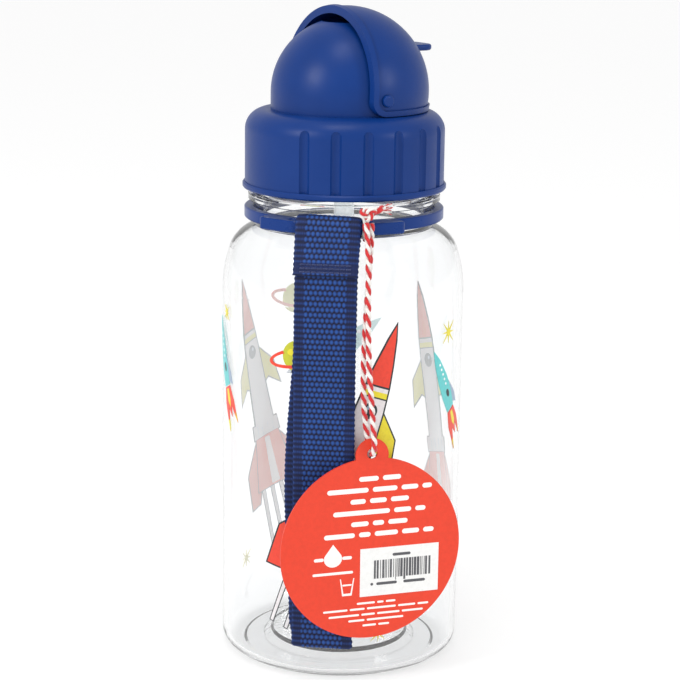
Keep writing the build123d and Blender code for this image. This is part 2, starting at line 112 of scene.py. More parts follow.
def srgb(red, green, blue):
    """Linear colour with alpha 1 from the usual 0 to 255 values."""
    def linear(value):
        value /= 255
        return value / 12.92 if value <= 0.04045 else ((value + 0.055) / 1.055) ** 2.4
    return (linear(red), linear(green), linear(blue), 1)


def darker(colour, share):
    """The colour with its three channels scaled, and alpha 1."""
    return tuple(c * share for c in colour[:3]) + (1,)


class Paint:
    """A node material with one Principled shader, and short ways to add nodes to it."""

    def __init__(self, name, **settings):
        self.material = bpy.data.materials.new(name)
        self.material.use_nodes = True
        self.tree = self.material.node_tree
        self.shader = self.tree.nodes["Principled BSDF"]
        for socket, value in settings.items():
            self.shader.inputs[socket.replace("_", " ")].default_value = value

    def node(self, kind, inputs=None, **settings):
        made = self.tree.nodes.new("ShaderNode" + kind)
        for key, value in settings.items():
            setattr(made, key, value)
        for key, value in (inputs or {}).items():
            if isinstance(value, bpy.types.NodeSocket):
                self.tree.links.new(value, made.inputs[key])
            else:
                made.inputs[key].default_value = value
        return made

    def place_of(self):
        return self.node("TexCoord").outputs["Object"]

    def noise(self, scale, detail=3, rough=0.5, where=None):
        where = where or self.place_of()
        inputs = {"Vector": where, "Scale": scale, "Detail": detail, "Roughness": rough}
        return self.node("TexNoise", inputs).outputs["Fac"]

    def ramp(self, value, *stops):
        """Colour ramp; each stop is (position, colour)."""
        ramp = self.node("ValToRGB", {"Fac": value})
        elements = ramp.color_ramp.elements
        while len(elements) < len(stops):
            elements.new(0.5)
        for element, (position, colour) in zip(elements, stops):
            element.position = position
            element.color = colour
        return ramp.outputs["Color"]

    def spread(self, value, low, high, from_low=0.0, from_high=1.0):
        inputs = {"Value": value, "From Min": from_low, "From Max": from_high,
                  "To Min": low, "To Max": high}
        return self.node("MapRange", inputs).outputs["Result"]

    def math(self, one, two, operation="ADD"):
        return self.node("Math", {0: one, 1: two}, operation=operation).outputs[0]

    def bump(self, height, strength, distance):
        inputs = {"Height": height, "Strength": strength, "Distance": distance}
        normal = self.node("Bump", inputs).outputs["Normal"]
        self.tree.links.new(normal, self.shader.inputs["Normal"])

    def to(self, socket, value):
        self.tree.links.new(value, self.shader.inputs[socket])


def moulded(name, colour, rough=0.36, grain=0.012, wear=0.06):
    """Opaque moulded plastic: faint flow marks, fine grain and slightly varied gloss."""
    paint = Paint(name, IOR=1.49, Specular_IOR_Level=0.22)
    flow = paint.noise(38, 4, 0.6)
    light = tuple(min(1, c * (1 + wear) + wear * 0.02) for c in colour[:3]) + (1,)
    dark = darker(colour, 1 - wear)
    paint.to("Base Color", paint.ramp(flow, (0.35, dark), (0.65, light)))
    paint.to("Roughness", paint.spread(paint.noise(220, 4, 0.6), rough - 0.05, rough + 0.07))
    paint.bump(paint.math(paint.noise(1500, 3), paint.spread(flow, 0, 2)), grain, 0.3 * MM)
    return paint.material


PUSH_UP_R = (21 * MM, 25.5 * MM)       # the rough zone of the base fades out between these
PUSH_UP_Z = (5.5 * MM, 7 * MM)


def clear_plastic():
    """Clear copolyester, with ripples and a rough zone inside the push-up of the base, and a faint
    white painted glow.
    """
    paint = Paint("clear_tritan", Base_Color=(0.972, 0.978, 0.982, 1), IOR=1.46,
                  Transmission_Weight=1.0, Emission_Color=(1, 1, 1, 1),
                  Emission_Strength=0.008)
    where = paint.place_of()
    split = paint.node("SeparateXYZ", {"Vector": where})
    out_squared = paint.math(paint.math(split.outputs["X"], 2, "POWER"),
                             paint.math(split.outputs["Y"], 2, "POWER"))
    near_axis = paint.spread(out_squared, 1, 0, PUSH_UP_R[0] ** 2, PUSH_UP_R[1] ** 2)
    at_base = paint.spread(split.outputs["Z"], 1, 0, *PUSH_UP_Z)
    ring = paint.math(near_axis, at_base, "MULTIPLY")
    ripple = paint.noise(26, 2)
    chips = paint.math(paint.noise(210, 3, 0.6), ring, "MULTIPLY")
    paint.to("Roughness", paint.spread(ring, 0.015, 0.06))
    paint.bump(paint.math(paint.spread(ripple, 0, 0.15), paint.spread(chips, 0, 0.7)),
               0.5, 0.6 * MM)
    return paint.material


def milky(name, colour, rough, passes, painted_glow=0.12):
    """Natural silicone, polypropylene or polyethylene, which lets some light through; its emission is
    a faint painted glow in its own colour.
    """
    paint = Paint(name, IOR=1.45, Transmission_Weight=passes, Subsurface_Weight=0.35,
                  Subsurface_Radius=(0.6, 0.6, 0.6), Subsurface_Scale=1.5 * MM,
                  Emission_Color=colour, Emission_Strength=painted_glow)
    cloud = paint.noise(90, 3)
    dark = darker(colour, 0.93)
    paint.to("Base Color", paint.ramp(cloud, (0.3, dark), (0.7, colour)))
    paint.to("Roughness", paint.spread(paint.noise(400), rough - 0.04, rough + 0.06))
    paint.bump(paint.noise(1800, 2), 0.02, 0.2 * MM)
    return paint.material


def webbing_cloth():
    """Woven nylon: its colour is painted from the relief of the weave, with painted shade in the gaps
    and painted highlights on the knobs.
    """
    paint = Paint("webbing", Sheen_Weight=0.06, Sheen_Roughness=0.4, Specular_IOR_Level=0.3)
    relief = paint.node("Attribute", attribute_name="relief").outputs["Fac"]
    fibres = paint.noise(3800, 2)
    mottled = paint.math(relief, paint.spread(fibres, -0.14, 0.14))
    patchy = paint.math(mottled, paint.spread(paint.noise(130, 3), -0.1, 0.1))
    # base colour from the relief: dark painted shade in the gaps, a middle tone, and painted
    # highlights on the knobs
    paint.to("Base Color", paint.ramp(patchy, (0.12, srgb(3, 9, 34)), (0.5, srgb(8, 29, 80)),
                                      (1.0, srgb(30, 78, 154))))
    paint.to("Roughness", paint.spread(relief, 0.75, 0.42))
    paint.bump(fibres, 0.35, 0.12 * MM)
    return paint.material


def yarn(name, colour, shade):
    """Cotton yarn with fine fibres and a soft sheen."""
    paint = Paint(name, Roughness=0.85, Sheen_Weight=0.4, Sheen_Roughness=0.5)
    fibres = paint.noise(4200, 3, 0.7)
    paint.to("Base Color", paint.ramp(fibres, (0.3, shade), (0.62, colour)))
    paint.bump(fibres, 0.6, 0.12 * MM)
    return paint.material


def card(name, colour, rough=0.5):
    """Printed card or paper: a faint mottle and paper grain."""
    paint = Paint(name, IOR=1.45)
    mottle = paint.noise(700, 4, 0.7)
    dark = darker(colour, 0.93)
    paint.to("Base Color", paint.ramp(mottle, (0.35, dark), (0.6, colour)))
    paint.to("Roughness", paint.spread(paint.noise(160), rough - 0.06, rough + 0.08))
    paint.bump(paint.noise(2200, 3), 0.08, 0.08 * MM)
    return paint.material


def ink(name, colour, painted_glow=0.0):
    """Screen-printed ink, with small pinholes in tone, and an optional painted glow that stands in
    for light coming through the wall.
    """
    paint = Paint(name, IOR=1.5, Emission_Color=colour, Emission_Strength=painted_glow)
    mottle = paint.noise(900, 3, 0.6)
    dark = darker(colour, 0.9)
    paint.to("Base Color", paint.ramp(mottle, (0.3, dark), (0.55, colour)))
    paint.to("Roughness", paint.spread(paint.noise(500), 0.28, 0.42))
    paint.bump(mottle, 0.05, 0.05 * MM)
    return paint.material


BLUE = srgb(5, 49, 117)
SILICONE = (0.8, 0.82, 0.83, 1)
PIVOT_GREY = (0.55, 0.58, 0.6, 1)
blue_plastic = moulded("blue_plastic", BLUE)
materials = {
    "bottle_body": clear_plastic(),
    "strap_collar": moulded("collar_plastic", srgb(6, 50, 120), 0.28),
    "hang_tag": card("tag_card", srgb(228, 62, 34)),
    "tag_label": card("label_paper", srgb(238, 238, 236), 0.6),
    "screw_cap": blue_plastic,
    "lid_dome": blue_plastic,
    "hood": blue_plastic,
    "hood_pin_left": blue_plastic,
    "hood_pin_right": blue_plastic,
    # the silicone parts and the straw carry a faint painted glow, the straw the strongest
    "lid_gasket": milky("gasket_silicone", SILICONE, 0.45, 0.3),
    "spout_mouthpiece": milky("mouth_silicone", (0.82, 0.85, 0.86, 1), 0.4, 0.35),
    "spout_seal": milky("seal_silicone", SILICONE, 0.45, 0.3),
    "vent_valve": milky("valve_silicone", SILICONE, 0.45, 0.3),
    "drinking_straw": milky("straw_polyethylene", (0.86, 0.88, 0.89, 1), 0.35, 0.6, 0.2),
    "spout": moulded("spout_polypropylene", (0.72, 0.76, 0.78, 1), 0.35),
    "spout_cradle": moulded("cradle_polypropylene", (0.68, 0.72, 0.74, 1), 0.4),
    "spout_pivot_left": moulded("pivot_plastic", PIVOT_GREY, 0.3),
    "spout_pivot_right": moulded("pivot_plastic_right", PIVOT_GREY, 0.3),
}
for node_name, material in materials.items():
    cad_mesh = frame["nodes"][node_name].data
    cad_mesh.materials.clear()
    cad_mesh.materials.append(material)


# ---------------------------------------------------------------- mesh helpers


def piece(name, vertices, faces, surfaces, indices=None, smooth=True):
    """Mesh object from vertices and faces; indices gives each face's material."""
    mesh = bpy.data.meshes.new(name)
    mesh.from_pydata([tuple(v) for v in vertices], [], faces)
    for surface in surfaces:
        mesh.materials.append(surface)
    if indices:
        mesh.polygons.foreach_set("material_index", indices)
    mesh.polygons.foreach_set("use_smooth", [smooth] * len(mesh.polygons))
    mesh.update()
    made = bpy.data.objects.new(name, mesh)
    bpy.context.collection.objects.link(made)
    return made


def sweep_loop(rings):
    """Faces that join rings of equal size one after another, with a cap at each end."""
    size = len(rings[0])
    vertices = [point for ring in rings for point in ring]
    faces = []
    for i in range(len(rings) - 1):
        a, b = i * size, (i + 1) * size
        faces += [(a + k, a + (k + 1) % size, b + (k + 1) % size, b + k) for k in range(size)]
    faces.append(tuple(range(size - 1, -1, -1)))
    faces.append(tuple(range(len(vertices) - size, len(vertices))))
    return vertices, faces


def add_sweep(vertices, faces, rings):
    """Adds the swept rings to the lists; returns how many faces that made."""
    more, joined = sweep_loop(rings)
    base = len(vertices)
    vertices += more
    faces += [tuple(base + index for index in face) for face in joined]
    return len(joined)


def tube(line, radius, sides):
    """Round rings along a line."""
    turns = [2 * pi * k / sides for k in range(sides)]
    return [[point + (side * cos(a) + other * sin(a)) * radius for a in turns]
            for point, _, side, other in frames(line)]


def read_curve(points):
    """Points along the NURBS spline that has these control points."""
    curve = bpy.data.curves.new("route", "CURVE")
    curve.dimensions = "3D"
    curve.resolution_u = 24
    spline = curve.splines.new("NURBS")
    spline.points.add(len(points) - 1)
    for target, point in zip(spline.points, points):
        target.co = (*point, 1)
    spline.order_u = 3
    spline.use_endpoint_u = True
    made = bpy.data.objects.new("route", curve)
    read = bpy.data.meshes.new_from_object(made)
    line = [vertex.co.copy() for vertex in read.vertices]
    bpy.data.objects.remove(made)
    bpy.data.curves.remove(curve)
    bpy.data.meshes.remove(read)
    return line


def even(line, step):
    """The same line with points at an even spacing."""
    spans = [(b - a).length for a, b in zip(line, line[1:])]
    count = max(2, round(sum(spans) / step))
    result, i, run = [], 0, 0.0
    for k in range(count + 1):
        goal = sum(spans) * k / count
        while i < len(spans) - 1 and run + spans[i] < goal:
            run += spans[i]
            i += 1
        result.append(line[i].lerp(line[i + 1], min(1, (goal - run) / spans[i])))
    return result


def frames(line):
    """A tangent and two normals at each point, carried along without twist."""
    result = []
    side = None
    for i, point in enumerate(line):
        tangent = (line[min(i + 1, len(line) - 1)] - line[max(i - 1, 0)]).normalized()
        if side is None:
            side = tangent.orthogonal().normalized()
        side = (side - tangent * side.dot(tangent)).normalized()
        result.append((point, tangent, side, tangent.cross(side)))
    return result


# ---------------------------------------------------------------- twine

TWINE_D = 1.8 * MM
TWINE_LEAD = 4.6 * MM
TWINE_HAND = -1                  # the plies wind like the stroke of an S
red_yarn = yarn("red_yarn", srgb(222, 38, 40), srgb(160, 14, 22))
white_yarn = yarn("white_yarn", srgb(248, 245, 240), srgb(205, 200, 196))

twine_route = [place(*p) for p in [
    (35.4, 11.2, 138.6), (36.6, 12.0, 129.0), (39.3, 12.4, 118.0), (40.2, 12.9, 99.0),
    (41.3, 14.9, 78.0), (40.95, 15.2, 72.4), (37.3, 13.5, 71.1), (37.7, 12.4, 76.6),
    (38.2, 11.3, 87.0), (38.3, 11.2, 101.0), (37.2, 11.9, 117.5), (34.1, 12.3, 129.5),
    (33.7, 12.5, 138.2)]]
TWINE_STEP, KNOT_STEP, FIBRE_STEP = 0.3 * MM, 0.28 * MM, 0.4 * MM
PLY_SIDES, FIBRE_SIDES = 9, 5
PLY_OUT, PLY_THICK, PLY_WIDE = 0.235, 0.25, 0.34      # shares of the twine's diameter


def plies(lines, start_phase=0.0, size=1.0):
    """Two plies, red and white, laid round each line; returns vertices, faces, materials."""
    vertices, faces, indices = [], [], []
    for line in lines:
        run = 0.0
        rings = [[], []]
        for i, (point, _, side, other) in enumerate(frames(line)):
            if i:
                run += (point - line[i - 1]).length
            for ply in (0, 1):
                turn = start_phase + TWINE_HAND * 2 * pi * run / TWINE_LEAD + ply * pi
                way = side * cos(turn) + other * sin(turn)
                over = -side * sin(turn) + other * cos(turn)
                middle = point + way * TWINE_D * PLY_OUT * size
                ring = []
                for k in range(PLY_SIDES):
                    a = 2 * pi * k / PLY_SIDES
                    ring.append(middle + (way * cos(a) * PLY_THICK + over * sin(a) * PLY_WIDE)
                                * TWINE_D * size)
                rings[ply].append(ring)
        for ply in (0, 1):
            indices += [ply] * add_sweep(vertices, faces, rings[ply])
    return vertices, faces, indices


twine_line = even(read_curve(twine_route), TWINE_STEP)
twine_vertices, twine_faces, twine_inks = plies([twine_line])
twine = piece("tag_twine_plies", twine_vertices, twine_faces, [red_yarn, white_yarn], twine_inks)
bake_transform(twine)
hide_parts("tag_twine")


def knot_line(middle, size):
    """A closed overhand knot, seen face on from outside."""
    out, across = away(front), along(front)
    line = []
    for k in range(97):
        t = 2 * pi * k / 96
        line.append(middle + size * (across * (sin(t) + 2 * sin(2 * t)) * 0.92
                                     + UP * (cos(t) - 2 * cos(2 * t)) * 0.8
                                     + out * -sin(3 * t) * 0.9))
    return line


knot_middle = place(34.0, 11.4, 140.9)
bar_turn = read_curve([place(33.7, 10.6, 141.2), place(33.7, 10.4, 133.0),
                       place(29.2, 10.4, 133.0), place(29.2, 10.4, 139.3),
                       place(33.2, 10.9, 140.9)])


def tail_line(rise, end_out, end_across, end_up):
    """A short tail that leaves the knot and droops along the neck."""
    return read_curve([place(33.6, 11.6, 141.0 + rise), place(32.4, 13.4, 141.8 + rise * 0.6),
                       place(end_out, end_across, end_up)])


tails = [tail_line(0.4, 29.4, 15.4, 142.2), tail_line(-0.5, 30.6, 15.0, 141.3)]
knot_lines = [even(line, KNOT_STEP) for line in
              [knot_line(knot_middle, 0.7 * MM), bar_turn] + tails]
knot_parts = plies(knot_lines, 0.8, 0.86)
knot = piece("twine_knot_plies", *knot_parts[:2], [red_yarn, white_yarn], knot_parts[2])
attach(knot, "collar")
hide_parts("twine_knot")


FIBRE_R = 0.13 * MM
UNDER_FLANGE = 142.9 * MM        # no fibre reaches higher, so the cap's flange stays clear


def frayed_ends():
    """Loose fibres past the cut ends of both tails."""
    chance = random.Random(7)
    vertices, faces, indices = [], [], []
    for tail in tails:
        heading = (tail[-1] - tail[-4]).normalized()
        for fibre in range(16):
            spread = Vector([chance.uniform(-1, 1) for _ in range(3)]) * 0.34
            reach = chance.uniform(2.2, 4.2) * MM
            start = tail[-5] + spread * 0.5 * MM
            mid = start + heading * reach * 0.5 + spread * 0.6 * MM
            end = start + (heading + spread * 0.7).normalized() * reach
            end.z = min(end.z, UNDER_FLANGE)
            line = even(read_curve([start, mid, end]), FIBRE_STEP)
            count = add_sweep(vertices, faces, tube(line, FIBRE_R, FIBRE_SIDES))
            indices += [fibre % 2] * count
    return vertices, faces, indices


fray = frayed_ends()
frayed = piece("twine_frayed_ends", *fray[:2], [red_yarn, white_yarn], fray[2])
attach(frayed, "collar")


# ---------------------------------------------------------------- webbing strap

ROW, KNOB, SELVEDGE = 1.57, 1.37, 2.9      # pitch of rows and knobs, width of a selvedge
STRAP_HALF, STRAP_BASE = 9.0, 0.46         # half width, half thickness under the relief
BAR, LOOP_R = (31.55, 136.05), 2.825       # the collar's bar, and the webbing round it
FLAP_END = (39.15, 123.4)
BACK_TOP = (34.7, 127.4)                   # the back layer leaves the loop toward here
FOLD_Z, BACK_OUT, FRONT_OUT = 12.3, 37.45, 38.85
FOLD_R = 0.7                               # half the distance between the layers
STRAP_STEP, STRAP_COLUMNS = 0.28, 60
KNOB_RISE = 0.2                            # height of a knob over the cloth under it
FLAP_WIDER = 0.4                           # the flap's half width has this much more
SEAM_PRESS = 0.8                           # share of the relief that the seam presses flat
SEAM_START, SEAM_END = (0.5, 1.0), (3.3, 4.0)      # where that fades in and out, from the flap's end
TOP_LEAN = 0.025                           # slope of the top of the loop across the strap
RAGGED = 0.12                              # how far the weave waves the edges
BACK_ASIDE = 2.6                           # the back layer shows this far beside the front one


def touch(point, side):
    """Angle on the circle round the bar where a line from the point touches it."""
    reach = hypot(point[0] - BAR[0], point[1] - BAR[1])
    toward = atan2(point[1] - BAR[1], point[0] - BAR[0])
    return toward + side * (pi / 2 - asin(LOOP_R / reach))


def arc(centre, radius, start, end, count):
    """Points on an arc in the strap's side view."""
    angles = [start + (end - start) * i / count for i in range(count + 1)]
    return [Vector((centre[0] + radius * cos(a), centre[1] + radius * sin(a), 0))
            for a in angles]


def strap_line():
    """Side view of the webbing, from the end of the flap, over the bar, down and up again."""
    flap = [Vector((*FLAP_END, 0))]
    loop = arc(BAR, LOOP_R, touch(FLAP_END, 1), touch(BACK_TOP, -1) + 2 * pi, 40)
    back = [Vector((*p, 0)) for p in [BACK_TOP, (36.9, 121.3), (BACK_OUT, 113.5),
                                      (BACK_OUT, FOLD_Z)]]
    fold = arc(((BACK_OUT + FRONT_OUT) / 2, FOLD_Z), FOLD_R, pi, 2 * pi, 12)
    front_part = [Vector((*p, 0)) for p in [(FRONT_OUT, 113.6), (38.3, 121.6), (36.0, 127.9)]]
    line = even(flap + loop + back + fold[1:] + front_part, STRAP_STEP)
    calm = []          # the bends are evened out, but not the loop, the fold and the ends
    for i, point in enumerate(line):
        reach = 7 if 14 < point.y < 131 and 40 < i < len(line) - 8 else 0
        near = line[i - reach:i + reach + 1]
        calm.append(sum(near, Vector((0, 0, 0))) / len(near))
    return calm


def blend_in(value, low, high):
    """0 below low, 1 above high and smooth between."""
    t = min(1, max(0, (value - low) / (high - low)))
    return t * t * (3 - 2 * t)


def weave(run, across, half):
    """Relief of the weave from 0 to 1: staggered knobs between two ribbed selvedges."""
    rows = run / ROW
    row = floor(rows)
    along_row = rows - row - 0.5
    edge = half - abs(across)
    if edge > SELVEDGE:
        columns = across / KNOB + 0.5 * (row % 2)
        in_column = columns - floor(columns) - 0.5
        knob = 1 - (1.8 * along_row) ** 2 - (1.85 * in_column) ** 2
        return max(0.0, knob) ** 0.6
    ridge = cos(2 * pi * along_row) * 0.5 + 0.5
    cords = cos(2 * pi * edge / 0.72) * 0.5 + 0.5
    return 0.22 + 0.5 * ridge * (0.6 + 0.4 * cords) + 0.2 * blend_in(edge, 0.7, 0.1)


def strap_rings():
    """Cross-sections of the woven strap, and at each vertex the relief value that the webbing's
    colour uses for painted shade and painted highlights.
    """
    line = strap_line()
    rings, relief = [], []
    run = 0.0
    low_index = min(range(len(line)), key=lambda i: line[i].y)
    loop_top = max(range(len(line)), key=lambda i: line[i].y)
    for i, point in enumerate(line):
        if i:
            run += (point - line[i - 1]).length
        heading = (line[min(i + 1, len(line) - 1)] - line[max(i - 1, 0)]).normalized()
        face = Vector((heading.y, -heading.x, 0))          # side that shows, on the flap
        half = STRAP_HALF + FLAP_WIDER * (1 - blend_in(i, loop_top - 20, loop_top + 30))
        pressed = 1 - SEAM_PRESS * blend_in(run, *SEAM_START) * (1 - blend_in(run, *SEAM_END))
        behind = loop_top < i < low_index
        shift = 0.0
        if behind:
            shift = -BACK_ASIDE * blend_in(point.y, 112, 62)
            shift *= 1 - 0.6 * blend_in(point.y, 60, 18)
            shift *= blend_in(point.y, 12.4, 20)
        rise = blend_in(point.y, 129, 138)
        ring, height = [], []
        for side in (-1, 1):
            for k in range(STRAP_COLUMNS + 1):
                across = half * (2 * k / STRAP_COLUMNS - 1) * -side
                knob = weave(run + (0 if side < 0 else ROW), across, half)
                thin = (1 - abs(across / half) ** 14) ** 0.5       # rounds the two edges
                ragged = RAGGED * cos(2 * pi * run / ROW) * abs(across / half) ** 20
                reach = (STRAP_BASE + KNOB_RISE * knob * pressed) * thin
                spot = point - face * side * reach
                up = spot.y + rise * TOP_LEAN * (half - across)
                ring.append(place(spot.x, across + shift + ragged * (1 if across > 0 else -1),
                                  up))
                # colour value for painted shade and highlights: the knob's relief, and a flat middle
                # tone where the seam presses the weave
                height.append(knob * pressed + 0.42 * (1 - pressed))
        rings.append(ring)
        relief += height
    return rings, relief


rings, relief = strap_rings()
strap = piece("carry_strap_webbing", *sweep_loop(rings), [webbing_cloth()])
# this attribute drives the painted shade and painted highlights in the webbing's colour
strap.data.attributes.new("relief", "FLOAT", "POINT").data.foreach_set("value", relief)
for cap_face in list(strap.data.polygons)[-2:]:
    cap_face.use_smooth = False
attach(strap, "strap")
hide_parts("carry_strap")


SEAM_ROWS, SEAM_COLUMNS = 3, 9
STITCH_LENGTH, STITCH_PITCH, THREAD_R = 1.3, 1.66, 0.19 * MM


def stitches():
    """Rows of short thread stitches across the foot of the flap."""
    lean = atan2(FLAP_END[0] - BAR[0] - LOOP_R, BAR[1] - FLAP_END[1])
    vertices, faces = [], []
    for row in range(SEAM_ROWS):
        for k in range(SEAM_COLUMNS):
            start = -7.3 + STITCH_PITCH * k
            line = []
            for j in range(9):
                t = j / 8
                lift = 0.5 + 0.14 * sin(pi * t) ** 0.5
                rise = 0.9 + 1.1 * row
                line.append(place(FLAP_END[0] + lift * cos(lean) - rise * sin(lean),
                                  start + STITCH_LENGTH * t,
                                  FLAP_END[1] + lift * sin(lean) + rise * cos(lean)))
            add_sweep(vertices, faces, tube(line, THREAD_R, 7))
    return vertices, faces


thread = piece("strap_seam_stitches", *stitches(),
               [yarn("seam_thread", srgb(16, 44, 108), srgb(7, 24, 70))])
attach(thread, "strap")
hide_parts("strap_stitching")


# ---------------------------------------------------------------- printed shapes


class Print:
    """Thin printed shapes in several inks, laid on a surface by a function (x, y, lift)."""

    def __init__(self, name, inks, to_place, cut=None):
        self.name, self.inks, self.to_place, self.cut = name, inks, to_place, cut
        self.vertices, self.faces, self.indices = [], [], []

    def add(self, points, colour, layer=0):
        """One filled outline, given as points in millimetres."""
        mesh = bmesh.new()
        mesh.faces.new([mesh.verts.new((x, y, 0)) for x, y in points])
        if self.cut:
            xs = [x for x, _ in points]
            x = ceil(min(xs) / self.cut) * self.cut
            while x < max(xs):
                bmesh.ops.bisect_plane(mesh, geom=mesh.verts[:] + mesh.edges[:] + mesh.faces[:],
                                       plane_co=(x, 0, 0), plane_no=(1, 0, 0))
                x += self.cut
        bmesh.ops.triangulate(mesh, faces=mesh.faces[:])
        bmesh.ops.recalc_face_normals(mesh, faces=mesh.faces[:])
        mesh.verts.index_update()
        flip = sum(face.normal.z for face in mesh.faces) < 0
        base, count = len(self.vertices), len(mesh.verts)
        for lift in (1, 0):
            self.vertices += [self.to_place(v.co.x, v.co.y, lift, layer) for v in mesh.verts]
        ink_index = list(self.inks).index(colour) * 2
        for face in mesh.faces:
            top = [v.index for v in face.verts]
            top = top[::-1] if flip else top
            self.faces.append([base + n for n in top])
            self.faces.append([base + count + n for n in top[::-1]])
            self.indices += [ink_index, ink_index + 1]
        for edge in mesh.edges:
            if len(edge.link_faces) != 1:
                continue
            loop = edge.link_loops[0]
            a, b = loop.vert.index, loop.link_loop_next.vert.index
            if flip:
                a, b = b, a
            self.faces.append([base + b, base + a, base + count + a, base + count + b])
            self.indices.append(ink_index)
        mesh.free()

    def finish(self, body):
        surfaces = [surface for pair in self.inks.values() for surface in pair]
        made = piece(self.name, self.vertices, self.faces, surfaces, self.indices, smooth=False)
        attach(made, body)


def grown(points, by):
    """The outline moved outwards by a distance, with its sharp corners cut short."""
    pairs = zip(points, points[1:] + points[:1])
    area = sum(a[0] * b[1] - b[0] * a[1] for a, b in pairs)
    way = 1 if area > 0 else -1
    result = []
    for i, (x, y) in enumerate(points):
        before = (Vector((x, y)) - Vector(points[i - 1])).normalized()
        after = (Vector(points[(i + 1) % len(points)]) - Vector((x, y))).normalized()
        normal = (Vector((before.y + after.y, -before.x - after.x)) * way).normalized()
        stretch = max(0.45, normal.dot(Vector((before.y, -before.x)) * way))
        result.append((x + normal.x * by / stretch, y + normal.y * by / stretch))
    return result


def oval(x, y, width, height, count=24):
    return [(x + width * cos(2 * pi * k / count), y + height * sin(2 * pi * k / count))
            for k in range(count)]


def pill(x, y, length, height):
    """A bar with round ends, given by its middle."""
    r, half = height / 2, length / 2 - height / 2
    right = [(x + half + r * sin(pi * k / 6), y - r * cos(pi * k / 6)) for k in range(7)]
    left = [(x - half - r * sin(pi * k / 6), y + r * cos(pi * k / 6)) for k in range(7)]
    return right + left


def band(x, y, width, height, start, end, thick, count=28):
    """Part of an oval ring, from one angle to another, in degrees."""
    angles = [radians(start + (end - start) * k / count) for k in range(count + 1)]
    outer = [(x + width * cos(a), y + height * sin(a)) for a in angles]
    inner = [(x + (width - thick) * cos(a), y + (height - thick) * sin(a)) for a in angles]
    return outer + inner[::-1]


def star(x, y, reach, spikes=8):
    points = []
    for k in range(2 * spikes):
        r = (reach if k % 4 else reach * 0.78) if k % 2 == 0 else reach * 0.2
        points.append((x + r * sin(pi * k / spikes), y + r * cos(pi * k / spikes)))
    return points


def mirrored(points):
    return [(-x, y) for x, y in points][::-1]


# the tag: lines of words as plain bars, a drop and a cup as generic marks, and a label
TAG_FACE, TAG_MIDDLE = 41.1, (-3.8, 42.9)
INK = 0.03                       # height of one layer of ink


def on_tag(x, y, lift, layer):
    """Place over the tag's face, from the tag's middle."""
    out = TAG_FACE + (INK + INK * layer if lift else -0.02)
    return place(out, x + TAG_MIDDLE[0], y + TAG_MIDDLE[1], tag_way)


def words_line(middle, height, words, gap, thick):
    """A line of words as plain bars, set about a middle."""
    x = middle - (sum(words) + gap * (len(words) - 1)) / 2
    for word in words:
        tag_print.add(pill(x + word / 2, height, word, thick), "white")
        x += word + gap


white_ink = card("tag_white_ink", srgb(250, 242, 238), 0.45)
grey_ink = card("label_grey_ink", srgb(86, 86, 90), 0.5)
tag_print = Print("tag_print", {"white": (white_ink, white_ink)}, on_tag)
for height, words in [(21.3, (6.0, 5.6)), (17.95, (12.6, 7.6, 5.2, 3.0)),
                      (14.6, (4.7, 5.2, 5.6)), (11.2, (17.4, 5.3, 3.2)),
                      (7.75, (5.4, 3.5, 6.0)), (4.45, (9.4, 3.6, 7.2, 5.3, 3.3))]:
    words_line(2.5, height, words, 1.25, 1.45)
for height, words in [(-16.7, (5.6, 2.0, 3.0)), (-18.4, (7.5, 4.6, 9.0, 5.4, 3.4)),
                      (-20.2, (9.4, 4.2, 7.0, 6.6)), (-21.9, (5.0, 11.4)), (-23.6, (4.2, 3.4))]:
    words_line(1.9, height, words, 0.7, 0.62)
drop = [(-11.6, 2.2)] + [(-11.6 + 2.75 * sin(radians(a)), -2.2 - 2.55 * cos(radians(a)))
                         for a in range(115, -116, -15)]
tag_print.add(drop, "white")
for x in (-15.9, -7.3):
    tag_print.add(pill(x, -2.2, 3.0, 1.0), "white")
tag_print.add(pill(-11.6, -6.7, 12.4, 0.8), "white")
cup = [(-9.4, -8.6), (-9.1, -8.6), (-8.3, -13.2), (-6.1, -13.2), (-5.3, -8.6), (-5.0, -8.6),
       (-5.75, -13.9), (-8.65, -13.9)]
tag_print.add(cup, "white")
tag_print.add(pill(-7.2, -10.6, 2.9, 0.5), "white")
tag_print.finish("tag")

label_print = Print("label_print", {"grey": (grey_ink, grey_ink)},
                    lambda x, y, lift, layer: on_tag(x, y, lift, layer + 4))
chance = random.Random(11)
x = 1.0
while x < 18.6:
    bar = chance.choice((0.22, 0.22, 0.4, 0.6, 0.75))
    low = -10.3 if chance.random() < 0.14 else -9.4
    label_print.add([(x, low), (x + bar, low), (x + bar, -3.75), (x, -3.75)], "grey")
    x += bar + chance.choice((0.2, 0.26, 0.45))
label_print.add(pill(9.5, -2.4, 5.6, 0.85), "grey")
for x, length in [(0.4, 0.9), (5.0, 6.4), (13.6, 6.8)]:
    label_print.add(pill(x, -11.0, length, 0.85), "grey")
label_print.finish("tag")


# the bottle: generic rockets, planets, shuttles and stars in screen-printed ink
def two_sides(name, red, green, blue):
    """Ink seen from outside, and the side seen through the wall, painted paler and given a painted
    glow in place of the light that comes through.
    """
    painted_pale = [c * 0.22 + 232 * 0.78 for c in (red, green, blue)]
    # the back side's pale colour and its glow of 0.45 are painted light
    return ink(name, srgb(red, green, blue)), ink(name + "_back", srgb(*painted_pale), 0.45)


print_inks = {
    "dark": two_sides("ink_dark", 28, 38, 44), "red": two_sides("ink_red", 232, 62, 38),
    "yellow": two_sides("ink_yellow", 232, 218, 44), "pale": two_sides("ink_pale", 230, 226, 227),
    "cyan": two_sides("ink_cyan", 96, 200, 200), "white": two_sides("ink_white", 250, 250, 250),
    "green": two_sides("ink_green", 196, 196, 40), "slate": two_sides("ink_slate", 150, 168, 190)}
PRINT_OUT = body_r / MM + 0.14


